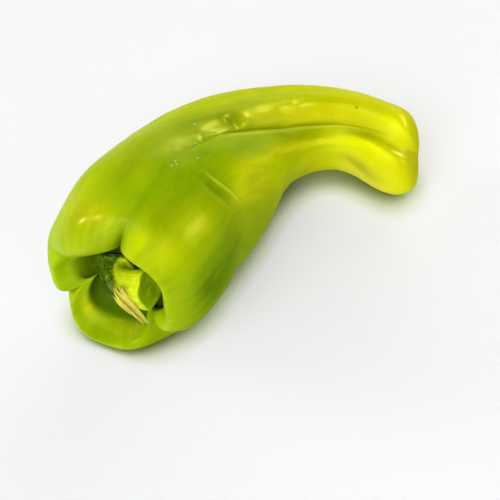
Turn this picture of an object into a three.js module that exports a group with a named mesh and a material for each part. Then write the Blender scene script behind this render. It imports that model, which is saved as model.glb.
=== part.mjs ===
// Cubanelle pepper lying on its side: a bent, hollow-necked pod, its stem and a torn strip of stem skin.
// Millimetres, +Z up. The pod's long way is X and the origin is the middle of its footprint on the floor.
import * as THREE from 'three';

// Centre line of the pod: distance along it, then x, y, z. Zero is at the root of the stem.
const CENTRE_LINE = [
  [-20, -44.0, -54.4, 31.0],
  [0, -36.5, -37.3, 31.5],
  [23, -29.6, -19.0, 31.0],
  [45, -21.2, -1.8, 29.0],
  [65, -8.6, 17.4, 26.0],
  [85, 10.0, 35.3, 22.0],
  [108, 35.0, 42.6, 19.2],
  [129, 54.8, 35.2, 17.2],
  [145, 67.5, 32.0, 17.0],
];

// Half widths at those places: towards the inner side of the bend, up, outer side, down.
const HALF_WIDTHS = [
  [-20, 31.0, 31.2, 26.0, 28.4],
  [0, 29.9, 31.5, 30.0, 30.6],
  [23, 28.6, 30.8, 30.0, 30.7],
  [45, 29.2, 27.2, 29.0, 29.2],
  [65, 24.4, 23.4, 27.0, 26.6],
  [85, 14.4, 20.1, 19.7, 20.4],
  [108, 10.0, 16.0, 14.6, 17.0],
  [129, 16.2, 15.6, 13.8, 18.1],
  [145, 22.5, 15.2, 13.0, 17.3],
];
const LENGTH = 137.6;
const TIP_DOME = 15;
// The blunt end dips where the groove meets it, and the front lobe reaches further: angle, half angle, reach.
const TIP_REACH = [[66, 20, -3], [342, 45, 3.6]];

// The flesh turns round the centre line towards the tip, in degrees.
const TWIST = [[0, 0], [45, -5], [65, -19], [85, -30], [110, -26], [145, -25]];

// Four creases part the lobes round the stem, in degrees from the inner side.
const CREASES = [82, 167, 218, 312];
const CREASE_SHARPNESS = 4;
const CREASE_ROUNDING = [0.62, 1.5, 0.62, 0.62];
// How much of each crease is left at the lip, the crest and three steps down the shoulder.
const CREASE_LEFT = [
  [1, 0.8, 0.08, 0, 0],
  [0.8, 0.3, 0, 0, 0],
  [1, 0.8, 0.38, 0.12, 0],
  [0.8, 1, 0.7, 0.25, 0],
];

// Round the stem end: angle, height of the crest, then wall, lip, crest and shoulder as shares of the radius.
const LOBES = [
  [82, 13, 0.42, 0.46, 0.64, 0.9],
  [100, 14, 0.42, 0.44, 0.65, 0.9],
  [124, 14.5, 0.42, 0.44, 0.66, 0.9],
  [150, 12, 0.46, 0.48, 0.69, 0.91],
  [170, 10.5, 0.44, 0.57, 0.77, 0.945],
  [196, 10, 0.44, 0.6, 0.78, 0.97],
  [218, 10.5, 0.46, 0.62, 0.82, 0.98],
  [245, 13.3, 0.54, 0.75, 0.88, 0.97],
  [268, 14, 0.54, 0.75, 0.88, 0.97],
  [295, 13.6, 0.56, 0.74, 0.88, 0.96],
  [312, 12.8, 0.62, 0.7, 0.86, 0.95],
  [328, 13, 0.66, 0.6, 0.78, 0.93],
  [350, 13.5, 0.72, 0.64, 0.76, 0.93],
  [370, 13.5, 0.74, 0.66, 0.75, 0.92],
  [392, 13, 0.72, 0.7, 0.79, 0.91],
  [420, 13, 0.54, 0.58, 0.72, 0.9],
];
const RECESS_DEPTH = 3;
const RECESS_FLOOR = 0.29;
const RECESS_SHIFT = [-6, -3.5];
const FLOOR_SHIFT = [-2, -4];

// The long groove on top: distance along the pod and depth as a share of the radius.
const GROOVE = [
  [-20, 0], [20, 0], [28, 0.03], [36, 0.07], [45, 0.1], [55, 0.13],
  [65, 0.18], [85, 0.22], [108, 0.22], [125, 0.2], [145, 0.04],
];
const GROOVE_HALF_ANGLE = 26;
// The groove's sharp bottom becomes round between these distances.
const GROOVE_ROUND = [96, 116];
// Where the groove's line runs: distance, then its angle.
const GROOVE_LINE = [
  [-20, 82], [20, 82.5], [43, 83.5], [52, 87], [60, 87], [70, 85.6], [88, 85],
  [105, 83.5], [118, 86.5], [125, 85], [131, 77], [137, 68], [145, 62],
];
// The front lobe's crest: distance, then its angle. A shallow valley parts it from the groove.
const CREST = [
  [20, 47], [35, 49], [57, 51], [68, 57], [79, 57],
  [91, 52], [106, 48], [118, 58], [129, 56], [145, 54],
];
const CREST_HEIGHT = 0.75;
const CREST_HALF_ANGLE = 9;
const VALLEY_DEPTH = 0.8;
const VALLEY_HALF_ANGLE = 8;
// The fuller lower corner of the stem end.
const CORNER_ANGLE = 232;
const CORNER_HALF_ANGLE = 30;
const CORNER_GROWTH = 0.075;
// Dents and swellings: distance, angle, half length, half angle, height outwards.
const SWELLINGS = [
  [14, 137, 16, 14, 0.8],
  [24, 44, 2.4, 12, -0.6],
  [28, 47, 2, 12, 0.4],
  [38, 50, 6, 9, 0.5],
  [60, 104, 9, 6, 0.4],
];
const GROOVE_SIDE_HOLLOW = 1;
const SIDE_HOLLOW_HALF_ANGLE = 9;

const POD_COLUMNS = [15, 10, 16, 23];
const POD_ROWS = [
  [0, 0.05, 2], [0.05, 0.1, 2], [0.1, 0.155, 3], [0.155, 0.205, 4], [0.205, 0.255, 3],
  [0.255, 0.31, 3], [0.31, 0.4, 5], [0.4, 0.88, 25], [0.88, 1, 8],
];

// Stem: heights and radii of the calyx collar, then places and radii along the stalk.
const CALYX = [
  [0.5, 0, 0], [0.5, 3, 0], [0.6, 5.5, 0.1], [1, 6.9, 0.5],
  [1.6, 7.3, 1], [2.2, 7.4, 1], [2.6, 7, 0.8], [2.8, 6.2, 0.5],
];
const STALK = [
  [0.1, 5.1, 0.3], [0.2, 4.7, 0.15], [0.35, 4.8, 0.1], [0.5, 5.2, 0.1], [0.65, 5.7, 0.1], [0.8, 6.2, 0.1],
  [0.92, 6.6, 0.1], [1, 6.7, 0.15], [1.03, 6.2, 0.3], [1.02, 4.4, 0.4], [1.01, 2.1, 0.3], [1, 0, 0],
];
// The stalk's bend: out of the recess, towards the inner side and up.
const STALK_PATH = [[2.5, 1, 0.5], [8.5, 2.2, 1.8], [11.3, 8, 4.3], [12, 15.3, 7]];
const STALK_RIDGES = 5;
const STEM_COLUMNS = 26;
const STEM_STEPS = 2;

// Torn strip: centre line points, half width and half thickness.
const FIBRE_PATH = [
  [-44.0, -48.9, 31.7],
  [-42.3, -52.2, 31.3],
  [-40.1, -53.8, 29.5],
  [-38.0, -53.9, 26.8],
  [-36.4, -53.6, 23.9],
  [-35.0, -53.1, 20.9],
  [-33.6, -52.5, 17.8],
];
const FIBRE_FACE = [-0.2, -0.75, 0.63];
const FIBRE_HALF_WIDTH = 1.5;
const FIBRE_HALF_THICKNESS = 0.45;

const SKIN_GREEN = 0xa9bd10;
const STEM_GREEN = 0x8fae1c;
const STRAW = 0xd9c77a;

function smooth(x) {
  return x * x * (3 - 2 * x);
}

function ramp(x, low, high) {
  return smooth(Math.min(Math.max((x - low) / (high - low), 0), 1));
}

function mix(a, b, share) {
  return a + (b - a) * share;
}

function turn(angle, centre) {
  return ((angle - centre + 180) % 360 + 360) % 360 - 180;
}

function hill(x) {
  return Math.exp(-x * x);
}

// Natural cubic spline through rows of [place, value, value, ...], straight beyond its ends.
function spline(rows) {
  const x = rows.map((row) => row[0]);
  const last = x.length - 1;
  const width = rows[0].length - 1;
  const columns = [];
  for (let column = 1; column <= width; column += 1) {
    const y = rows.map((row) => row[column]);
    const bend = new Array(x.length).fill(0);
    const scale = new Array(x.length).fill(0);
    for (let i = 1; i < last; i += 1) {
      const before = x[i] - x[i - 1];
      const after = x[i + 1] - x[i];
      const pivot = 2 * (before + after) - before * scale[i - 1];
      const jump = 6 * ((y[i + 1] - y[i]) / after - (y[i] - y[i - 1]) / before);
      scale[i] = after / pivot;
      bend[i] = (jump - before * bend[i - 1]) / pivot;
    }
    for (let i = last - 1; i > 0; i -= 1) {
      bend[i] -= scale[i] * bend[i + 1];
    }
    columns.push({ y, bend });
  }
  return (place) => {
    const inside = Math.min(Math.max(place, x[0]), x[last]);
    let i = 0;
    while (i < last - 1 && inside >= x[i + 1]) {
      i += 1;
    }
    const step = x[i + 1] - x[i];
    const u = inside - x[i];
    const beyond = place - inside;
    return columns.map(({ y, bend }) => {
      const slope = (y[i + 1] - y[i]) / step - step * (2 * bend[i] + bend[i + 1]) / 6;
      const growth = (bend[i + 1] - bend[i]) / step;
      const value = y[i] + slope * u + bend[i] * u * u / 2 + growth * u * u * u / 6;
      return value + beyond * (slope + bend[i] * u + growth * u * u / 2);
    });
  };
}

const centreAt = spline(CENTRE_LINE);
const halfWidthsAt = spline(HALF_WIDTHS);
const twistAt = spline(TWIST);
const grooveAt = spline(GROOVE);
const grooveLineAt = spline(GROOVE_LINE);
const crestAt = spline(CREST);
const before = LOBES.slice(-3).map((row) => [row[0] - 360, ...row.slice(1)]);
const after = LOBES.slice(0, 3).map((row) => [row[0] + 360, ...row.slice(1)]);
const lobeAt = spline([...before, ...LOBES, ...after]);

// Place on the centre line with its three directions: along, towards the inner side, up.
function frameAt(distance) {
  const place = new THREE.Vector3(...centreAt(distance));
  const along = new THREE.Vector3(...centreAt(distance + 1)).sub(new THREE.Vector3(...centreAt(distance - 1)));
  along.normalize();
  const inner = new THREE.Vector3().crossVectors(along, new THREE.Vector3(0, 0, 1)).normalize();
  const up = new THREE.Vector3().crossVectors(inner, along);
  return { place, along, inner, up };
}

function radiusAt(angle, distance) {
  const [inner, top, outer, bottom] = halfWidthsAt(distance);
  const c = Math.cos(angle);
  const s = Math.sin(angle);
  return 1 / Math.hypot(c / (c > 0 ? inner : outer), s / (s > 0 ? top : bottom));
}

// Height of dents and swellings above the plain skin.
function relief(distance, angle, t) {
  let height = 0;
  for (const [place, centre, halfLength, halfAngle, rise] of SWELLINGS) {
    height += rise * hill((distance - place) / halfLength) * hill(turn(angle, centre) / halfAngle);
  }
  const beside = (turn(angle, CREASES[0]) + GROOVE_HALF_ANGLE) / SIDE_HOLLOW_HALF_ANGLE;
  height -= GROOVE_SIDE_HOLLOW * hill(beside) * ramp(distance, 45, 70) * (1 - ramp(distance, 103, 128));
  const crest = crestAt(distance)[0];
  const valley = (crest + grooveLineAt(distance)[0]) / 2 + 2;
  const along = ramp(distance, 26, 60) * (1 - ramp(distance, 126, 138));
  height += CREST_HEIGHT * along * hill(turn(angle, crest) / CREST_HALF_ANGLE);
  height -= VALLEY_DEPTH * along * hill(turn(angle, valley) / VALLEY_HALF_ANGLE);
  return height * ramp(t, 0.28, 0.34) * (1 - ramp(t, 0.95, 1));
}

// Knots down the pod from the recess to the tip: t, distance, share of the radius.
function meridian(angle) {
  const from = ((angle - CREASES[0]) % 360 + 360) % 360 + CREASES[0];
  const edges = [...CREASES, CREASES[0] + 360];
  let lobe = 0;
  while (lobe < 3 && from >= edges[lobe + 1]) {
    lobe += 1;
  }
  const across = (from - edges[lobe]) / (edges[lobe + 1] - edges[lobe]);
  const rounding = mix(CREASE_ROUNDING[lobe], CREASE_ROUNDING[(lobe + 1) % 4], smooth(across));
  const bulge = (1 - Math.abs(2 * across - 1) ** CREASE_SHARPNESS) ** rounding;
  const next = CREASE_LEFT[(lobe + 1) % 4];
  const full = CREASE_LEFT[lobe].map((left, i) => 1 - (1 - bulge) * mix(left, next[i], smooth(across)));
  const [height, wall, lip, crest, shoulder] = lobeAt(from);
  const depth = RECESS_DEPTH;
  return [
    [0, depth, 0],
    [0.05, depth, RECESS_FLOOR],
    [0.1, mix(depth - 2, depth - 6, full[0]), mix(0.35, wall, full[0])],
    [0.155, mix(-1, 1.5 - height * 0.88, full[0]), mix(0.4, lip, full[0])],
    [0.205, mix(-3.5, -2.5 - height, full[1]), mix(0.54, crest, full[1])],
    [0.255, mix(-0.5, 4 - height, full[2]), mix(0.76, shoulder, full[2])],
    [0.31, mix(8, 6, full[3]), mix(0.9, 1, full[3])],
    [0.4, 25, mix(0.95, 1, full[4])],
    [0.55, 54, 1],
    [0.68, 80, 1],
    [0.8, 103, 1],
    [0.88, LENGTH - TIP_DOME, 1],
  ];
}

// The blunt end, as distance and share of the radius.
function tipDome(t, angle) {
  const lean = Math.min((t - 0.88) / 0.12, 1) * Math.PI / 2;
  let reach = 0;
  for (const [centre, halfAngle, height] of TIP_REACH) {
    reach += height * hill(turn(angle, centre) / halfAngle);
  }
  const distance = LENGTH - TIP_DOME + TIP_DOME * Math.sin(lean) + reach * Math.sin(2 * lean);
  return [distance, Math.max(Math.cos(lean), 0) ** 0.8];
}

function alongMeridian(knots, t) {
  const last = knots.length - 1;
  const endSlope = [TIP_DOME * Math.PI / 2 / 0.12, 0];
  const slopeAt = (i, column) => {
    const left = i > 0 ? (knots[i][column] - knots[i - 1][column]) / (knots[i][0] - knots[i - 1][0]) : 0;
    const right = i < last ? (knots[i + 1][column] - knots[i][column]) / (knots[i + 1][0] - knots[i][0]) : 0;
    if (i === 0) {
      return right;
    }
    if (i === last) {
      return endSlope[column - 1];
    }
    const back = knots[i][0] - knots[i - 1][0];
    const forth = knots[i + 1][0] - knots[i][0];
    return (left * forth + right * back) / (back + forth);
  };
  let i = 0;
  while (i < last - 1 && t >= knots[i + 1][0]) {
    i += 1;
  }
  const step = knots[i + 1][0] - knots[i][0];
  const x = (t - knots[i][0]) / step;
  return [1, 2].map((column) => (
    (2 * x ** 3 - 3 * x ** 2 + 1) * knots[i][column]
    + (x ** 3 - 2 * x ** 2 + x) * step * slopeAt(i, column)
    + (3 * x ** 2 - 2 * x ** 3) * knots[i + 1][column]
    + (x ** 3 - x ** 2) * step * slopeAt(i + 1, column)
  ));
}

function podPoint(t, angle) {
  const [distance, share] = t < 0.88 ? alongMeridian(meridian(angle), t) : tipDome(t, angle);
  const lean = (angle + twistAt(distance)[0]) * Math.PI / 180;
  let radius = share * radiusAt(lean, distance);
  const corner = hill(turn(angle, CORNER_ANGLE) / CORNER_HALF_ANGLE);
  radius *= 1 + CORNER_GROWTH * corner * (1 - ramp(distance, 5, 75));
  const offGroove = Math.min(Math.abs(turn(angle, grooveLineAt(distance)[0])) / GROOVE_HALF_ANGLE, 1);
  const valley = (1 - offGroove ** (1 + ramp(distance, ...GROOVE_ROUND))) ** 2;
  radius *= 1 - Math.max(grooveAt(distance)[0], 0) * valley;
  radius += relief(distance, angle, t);
  const { place, inner, up } = frameAt(distance);
  const shift = 1 - ramp(t, 0.16, 0.36);
  const floorShift = 1 - ramp(t, 0.07, 0.14);
  const point = place.clone();
  point.addScaledVector(inner, RECESS_SHIFT[0] * shift + FLOOR_SHIFT[0] * floorShift + radius * Math.cos(lean));
  point.addScaledVector(up, RECESS_SHIFT[1] * shift + FLOOR_SHIFT[1] * floorShift + radius * Math.sin(lean));
  point.z = Math.max(point.z, 0);
  return point;
}

// Closed skin over a grid of rings, the first and last of which are single points.
function closedSkin(rings) {
  const columns = rings[1].length;
  const points = [rings[0][0], ...rings.slice(1, -1).flat(), rings[rings.length - 1][0]];
  const end = points.length - 1;
  const at = (row, column) => 1 + (row - 1) * columns + (column % columns);
  const faces = [];
  for (let column = 0; column < columns; column += 1) {
    faces.push(0, at(1, column), at(1, column + 1));
    for (let row = 1; row < rings.length - 2; row += 1) {
      faces.push(at(row, column), at(row + 1, column), at(row + 1, column + 1));
      faces.push(at(row, column), at(row + 1, column + 1), at(row, column + 1));
    }
    faces.push(at(rings.length - 2, column), end, at(rings.length - 2, column + 1));
  }
  return outward(points, faces);
}

// Indexed geometry with its faces turned outwards.
function outward(points, faces) {
  let volume = 0;
  for (let i = 0; i < faces.length; i += 3) {
    const cross = new THREE.Vector3().crossVectors(points[faces[i + 1]], points[faces[i + 2]]);
    volume += points[faces[i]].dot(cross);
  }
  const geometry = new THREE.BufferGeometry();
  geometry.setAttribute('position', new THREE.Float32BufferAttribute(points.flatMap((p) => [p.x, p.y, p.z]), 3));
  const turned = volume > 0 ? faces : faces.map((_, i) => faces[i - (i % 3) + (2 - (i % 3))]);
  geometry.setIndex(turned);
  geometry.computeVertexNormals();
  return geometry;
}

function buildPod() {
  const rows = [0];
  for (const [from, to, steps] of POD_ROWS) {
    for (let i = 1; i <= steps; i += 1) {
      rows.push(from + (to - from) * i / steps);
    }
  }
  const angles = [];
  POD_COLUMNS.forEach((count, lobe) => {
    const from = CREASES[lobe];
    const to = lobe < 3 ? CREASES[lobe + 1] : CREASES[0] + 360;
    for (let i = 0; i < count; i += 1) {
      angles.push(from + (to - from) * i / count);
    }
  });
  return closedSkin(rows.map((t) => angles.map((angle) => podPoint(t, angle))));
}

function stalkPlace(u) {
  return [0, 1, 2].map((axis) => (
    (1 - u) ** 3 * STALK_PATH[0][axis] + 3 * (1 - u) ** 2 * u * STALK_PATH[1][axis]
    + 3 * (1 - u) * u ** 2 * STALK_PATH[2][axis] + u ** 3 * STALK_PATH[3][axis]
  ));
}

// One ring of the stem, either flat round the recess floor or square to the stalk's bend.
function stemRing(row, inCalyx, angles) {
  const { place, along, inner, up } = frameAt(RECESS_DEPTH);
  const root = place.clone();
  root.addScaledVector(inner, RECESS_SHIFT[0] + FLOOR_SHIFT[0]);
  root.addScaledVector(up, RECESS_SHIFT[1] + FLOOR_SHIFT[1]);
  const out = along.clone().negate();
  const local = ([o, i, u]) => out.clone().multiplyScalar(o).addScaledVector(inner, i).addScaledVector(up, u);
  const [where, radius, ripple] = row;
  let centre = root;
  let sideways = inner;
  let upwards = up;
  if (!inCalyx) {
    centre = root.clone().add(local(stalkPlace(where)));
    const ahead = local(stalkPlace(where + 0.01));
    const heading = ahead.sub(local(stalkPlace(where - 0.01))).normalize();
    upwards = up.clone().addScaledVector(heading, -up.dot(heading)).normalize();
    sideways = new THREE.Vector3().crossVectors(upwards, heading).normalize();
  }
  return angles.map((angle) => {
    const wave = 1 + ripple * (0.1 * Math.cos(5 * angle + 0.6) + 0.05 * Math.cos(9 * angle + 2));
    const ridge = inCalyx ? 1 : 1 + 0.07 * Math.cos(STALK_RIDGES * (angle - 0.35));
    const point = centre.clone();
    point.addScaledVector(sideways, radius * wave * ridge * Math.cos(angle));
    point.addScaledVector(upwards, radius * wave * ridge * Math.sin(angle));
    if (inCalyx) {
      point.addScaledVector(out, where + ripple * 0.35 * (1 + Math.sin(7 * angle)));
    }
    return point;
  });
}

function buildStem() {
  const angles = [...Array(STEM_COLUMNS).keys()].map((i) => 2 * Math.PI * i / STEM_COLUMNS);
  const rings = [
    ...CALYX.map((row) => stemRing(row, true, angles)),
    ...STALK.map((row) => stemRing(row, false, angles)),
  ];
  const tracks = angles.map((_, column) => spline(rings.map((ring, i) => [i, ...ring[column].toArray()])));
  const fine = [];
  for (let i = 0; i <= (rings.length - 1) * STEM_STEPS; i += 1) {
    fine.push(tracks.map((track) => new THREE.Vector3(...track(i / STEM_STEPS))));
  }
  fine[0] = rings[0];
  fine[fine.length - 1] = rings[rings.length - 1];
  return closedSkin(fine);
}

// A leaf of two sheets that meet along its edge, with a forked free end.
function buildFibre() {
  const steps = 20;
  const columns = 8;
  const path = spline(FIBRE_PATH.map((point, i) => [i / (FIBRE_PATH.length - 1), ...point]));
  const face = new THREE.Vector3(...FIBRE_FACE).normalize();
  const points = [];
  const index = { front: [], back: [] };
  for (let i = 0; i <= steps; i += 1) {
    index.front.push([]);
    index.back.push([]);
    for (let j = 0; j <= columns; j += 1) {
      const w = 2 * j / columns - 1;
      const fork = 0.14 * Math.exp(-(((w - 0.1) / 0.3) ** 2)) + 0.08 * ramp(w, 0.2, 1);
      const s = (i / steps) * (1 - fork);
      const place = new THREE.Vector3(...path(s));
      const heading = new THREE.Vector3(...path(s + 0.01)).sub(new THREE.Vector3(...path(s - 0.01))).normalize();
      const across = new THREE.Vector3().crossVectors(heading, face).normalize();
      const normal = new THREE.Vector3().crossVectors(across, heading).normalize();
      const width = FIBRE_HALF_WIDTH * (0.35 + 0.65 * ramp(s, 0, 0.3)) * (1 - 0.35 * ramp(s, 0.6, 1));
      place.addScaledVector(across, w * width);
      const edge = i === 0 || i === steps || j === 0 || j === columns;
      const thick = edge ? 0 : FIBRE_HALF_THICKNESS * (1 - w ** 4);
      index.front[i].push(points.length);
      points.push(place.clone().addScaledVector(normal, thick));
      index.back[i].push(edge ? points.length - 1 : points.length);
      if (!edge) {
        points.push(place.clone().addScaledVector(normal, -thick));
      }
    }
  }
  const faces = [];
  for (let i = 0; i < steps; i += 1) {
    for (let j = 0; j < columns; j += 1) {
      const corners = ({ front, back }, side) => {
        const sheet = side ? front : back;
        return [sheet[i][j], sheet[i + 1][j], sheet[i + 1][j + 1], sheet[i][j + 1]];
      };
      // The diagonal leans so that no triangle has all its corners on the edge.
      const lean = (i < steps / 2) === (j < columns / 2);
      for (const side of [true, false]) {
        const [a, b, c, d] = corners(index, side);
        const pair = lean ? [a, b, c, a, c, d] : [a, b, d, b, c, d];
        faces.push(...(side ? pair : pair.reverse()));
      }
    }
  }
  return outward(points, faces);
}

const geometries = [
  ['pod', buildPod(), SKIN_GREEN],
  ['stem', buildStem(), STEM_GREEN],
  ['stem_fibre', buildFibre(), STRAW],
];
const box = new THREE.Box3();
for (const [, geometry] of geometries) {
  geometry.computeBoundingBox();
  box.union(geometry.boundingBox);
}
const part = new THREE.Group();
for (const [name, geometry, colour] of geometries) {
  geometry.translate(-(box.min.x + box.max.x) / 2, -(box.min.y + box.max.y) / 2, -box.min.z);
  const mesh = new THREE.Mesh(geometry, new THREE.MeshStandardMaterial({ color: colour, roughness: 0.35 }));
  mesh.name = name;
  part.add(mesh);
}

export default part;
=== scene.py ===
import math

import bpy
import numpy as np
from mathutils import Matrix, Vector, noise


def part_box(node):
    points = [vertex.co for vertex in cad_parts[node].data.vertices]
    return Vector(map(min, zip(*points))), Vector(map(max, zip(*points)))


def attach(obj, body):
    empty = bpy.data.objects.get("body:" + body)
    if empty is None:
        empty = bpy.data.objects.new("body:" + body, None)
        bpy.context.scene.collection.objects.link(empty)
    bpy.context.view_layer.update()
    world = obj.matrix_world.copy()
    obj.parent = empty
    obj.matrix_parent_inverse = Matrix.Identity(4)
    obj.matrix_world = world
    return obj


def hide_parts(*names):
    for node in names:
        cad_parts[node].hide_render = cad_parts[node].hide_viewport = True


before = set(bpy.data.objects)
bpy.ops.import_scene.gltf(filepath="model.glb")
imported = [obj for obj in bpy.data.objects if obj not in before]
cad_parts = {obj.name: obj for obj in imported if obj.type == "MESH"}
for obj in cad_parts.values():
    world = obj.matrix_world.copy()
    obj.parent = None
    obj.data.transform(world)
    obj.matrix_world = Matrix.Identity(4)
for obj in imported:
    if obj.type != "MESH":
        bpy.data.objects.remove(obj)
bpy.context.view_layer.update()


# The pod: one hollow, thick-walled fruit, bent sideways towards its blunt tip. Glossy yellow-green
# skin over pale flesh, with lobes that curl in round the stem and a long groove on top. It lies on
# three low spots of its underside.

# Sizes are millimetres until the mesh is made, and angles are degrees from the inner side of the bend.
MM = 0.001

# Distance along the centre line, then x, y, z of the line.
CENTRE_LINE = [
    [-20, -44.0, -54.4, 31.0],
    [0, -36.5, -37.3, 31.5],
    [23, -29.6, -19.0, 31.0],
    [45, -21.2, -1.8, 29.0],
    [65, -8.6, 17.4, 26.0],
    [85, 10.0, 35.3, 22.0],
    [108, 35.0, 42.6, 19.2],
    [129, 54.8, 35.2, 17.2],
    [145, 67.5, 32.0, 17.0],
]
# Half widths at those places: inner side, up, outer side, down.
HALF_WIDTHS = [
    [-20, 31.0, 31.2, 26.0, 28.4],
    [0, 29.9, 31.5, 30.0, 30.6],
    [23, 28.6, 30.8, 30.0, 30.7],
    [45, 29.2, 27.2, 29.0, 29.2],
    [65, 24.4, 23.4, 27.0, 26.6],
    [85, 14.4, 20.1, 19.7, 20.4],
    [108, 10.0, 16.0, 14.6, 17.0],
    [129, 16.2, 15.6, 13.8, 18.1],
    [145, 22.5, 15.2, 13.0, 17.3],
]
LENGTH = 137.6
TIP_DOME = 15
TWIST = [[0, 0], [45, -5], [65, -19], [85, -30], [110, -26], [145, -25]]

# Creases between the lobes, and how much of each is left at the wall and lip, the crest, the shoulder
# and two steps down the body.
CREASES = [82, 167, 218, 312]
CREASE_SHARPNESS = 4
CREASE_ROUNDING = [0.62, 1.5, 0.62, 0.62]
CREASE_LEFT = [
    [1, 0.8, 0.08, 0, 0],
    [0.8, 0.3, 0, 0, 0],
    [1, 0.8, 0.38, 0.12, 0],
    [0.8, 1, 0.7, 0.25, 0],
]
# Distance and share of the radius in the bottom of a full crease, at the wall, lip, crest, shoulder
# and two steps down the body, and which of the amounts above each goes by.
CREASE_BOTTOM = [[1, 0.35], [-1, 0.4], [-3.5, 0.54], [-0.5, 0.76], [8, 0.9], [25, 0.95]]
CREASE_LEVELS = [0, 0, 1, 2, 3, 4]
# Distances of the knots down the body, beyond the creases, as far as the blunt end.
BODY_KNOTS = [54, 80, 103, LENGTH - TIP_DOME]
# Round the stem end: angle, height of the crest, then wall, lip, crest and shoulder as shares of the radius.
LOBES = [
    [82, 13, 0.42, 0.46, 0.64, 0.9],
    [100, 14, 0.42, 0.44, 0.65, 0.9],
    [124, 14.5, 0.42, 0.44, 0.66, 0.9],
    [150, 12, 0.46, 0.48, 0.69, 0.91],
    [170, 10.5, 0.44, 0.57, 0.77, 0.945],
    [196, 10, 0.44, 0.6, 0.78, 0.97],
    [218, 10.5, 0.46, 0.62, 0.82, 0.98],
    [245, 13.3, 0.54, 0.75, 0.88, 0.97],
    [268, 14, 0.54, 0.75, 0.88, 0.97],
    [295, 13.6, 0.56, 0.74, 0.88, 0.96],
    [312, 12.8, 0.62, 0.7, 0.86, 0.95],
    [328, 13, 0.66, 0.6, 0.78, 0.93],
    [350, 13.5, 0.72, 0.64, 0.76, 0.93],
    [370, 13.5, 0.74, 0.66, 0.75, 0.92],
    [392, 13, 0.72, 0.7, 0.79, 0.91],
    [420, 13, 0.54, 0.58, 0.72, 0.9],
]
RECESS_DEPTH = 3
RECESS_FLOOR = 0.29
# The recess lies off the centre line by these amounts to the inner side and up, and its floor by more.
# Both shifts fade between these shares of the way down the skin.
RECESS_SHIFT = [-6, -3.5]
RECESS_SHIFT_FADE = [0.16, 0.36]
FLOOR_SHIFT = [-2, -4]
FLOOR_SHIFT_FADE = [0.07, 0.14]

# The long groove: distance and depth as a share of the radius.
GROOVE = [
    [-20, 0], [20, 0], [28, 0.03], [36, 0.07], [45, 0.1], [55, 0.13],
    [65, 0.18], [85, 0.22], [108, 0.22], [125, 0.2], [145, 0.04],
]
GROOVE_HALF_ANGLE = 26
# The groove's sharp bottom becomes round between these distances.
GROOVE_ROUND = [96, 116]
# The blunt end dips where the groove meets it, and the front lobe reaches further: angle, half angle, reach.
TIP_REACH = [[66, 20, -3], [342, 45, 3.6]]
# A hollow follows the groove's front side: depth, half angle, and the distances where it starts,
# is full, fades and ends.
SIDE_HOLLOW = 1
SIDE_HOLLOW_HALF_ANGLE = 9
SIDE_HOLLOW_SPAN = [45, 70, 103, 128]
# The fuller lower corner of the stem end.
CORNER_ANGLE = 232
CORNER_HALF_ANGLE = 30
CORNER_GROWTH = 0.075
CORNER_FADE = [5, 75]

# Dents and swellings: distance, angle, half length, half angle, height outwards.
SWELLINGS = [
    [26.5, 86, 1.8, 2.6, 0.3],
    [38, 89, 6, 3.2, -0.35],
    [46.5, 91, 1.2, 4, 0.3],
    [54, 93, 4, 3.4, -0.55],
    [50, 102, 1, 1.4, 0.25],
    [59.5, 98, 1.2, 4, 0.35],
    [62.3, 96, 1.6, 5.5, -0.85],
    [66.6, 94, 0.9, 5, 0.5],
    [71, 92, 2.4, 3.5, -0.35],
    [74.5, 88, 1.2, 2.5, 0.25],
    [80, 100, 4, 4.5, -0.45],
    [85.5, 103, 1.4, 6, 0.4],
    [91, 95, 3, 4, -0.3],
    [97, 96, 1.6, 4, 0.3],
    [103, 95, 2.6, 4, -0.3],
    [109, 96, 1.6, 4, 0.3],
    [115, 97, 2.8, 5, -0.35],
    [121, 101, 2, 6, 0.35],
    [126, 104, 2.5, 7, -0.2],
    [60, 104, 9, 6, 0.4],
    [14, 137, 16, 14, 0.8],
    [20, 47, 5, 14, -0.5],
    [38, 50, 6, 9, 0.5],
    [88, 84, 3, 9, 0.25],
    [124, 66, 2.2, 8, -0.4],
    [128, 58, 2, 7, 0.4],
]
# The front lobe's crest: distance, then its angle.
CREST = [
    [20, 47], [35, 49], [57, 51], [68, 57], [79, 57],
    [91, 52], [106, 48], [118, 58], [129, 56], [145, 54],
]
CREST_HEIGHT = 0.75
CREST_HALF_ANGLE = 9
VALLEY_DEPTH = 0.8
VALLEY_HALF_ANGLE = 8
CREST_SPAN = [26, 60, 126, 138]
# Folds across the body's inner side: height, half width, then angle and distance along each.
FOLDS = [
    [0.65, 0.75, [[26, 33], [34, 30.3], [39, 28.8], [44, 27.3], [51, 25.8], [64, 25]]],
    [-0.3, 2.2, [[26, 28], [34, 25.3], [39, 24.3], [44, 23.3], [51, 22], [64, 21]]],
    [0.14, 0.5, [[20, 29], [23, 27], [30, 24.3], [36, 21.5], [42, 19.5], [54, 18]]],
    [0.1, 0.6, [[26, 26], [34, 23], [39, 21.8], [44, 21.2], [51, 20.2], [64, 19]]],
]
# Where the groove's line runs: distance, then its angle.
GROOVE_LINE = [
    [-20, 82], [20, 82.5], [43, 83.5], [52, 87], [60, 87], [70, 85.6],
    [88, 85], [105, 83.5], [118, 86.5], [125, 85], [131, 77], [137, 68], [145, 62],
]
# The groove's sharp bottom is a jagged notch with a thin lip beside it.
NOTCH_DEPTH = 0.2
NOTCH_HALF_ANGLE = 1.3
NOTCH_LIP = 0.3
NOTCH_LIP_ANGLE = 4
NOTCH_LIP_HALF_ANGLE = 2.2
NOTCH_SPAN = [20, 34, 112, 126]
# Fine ripples at the groove's upper end: height, then middle and half size along and round the body.
RIPPLE_HEIGHT = 0.13
RIPPLES_ALONG = [37, 6]
RIPPLES_ROUND = [88, 4]
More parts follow.
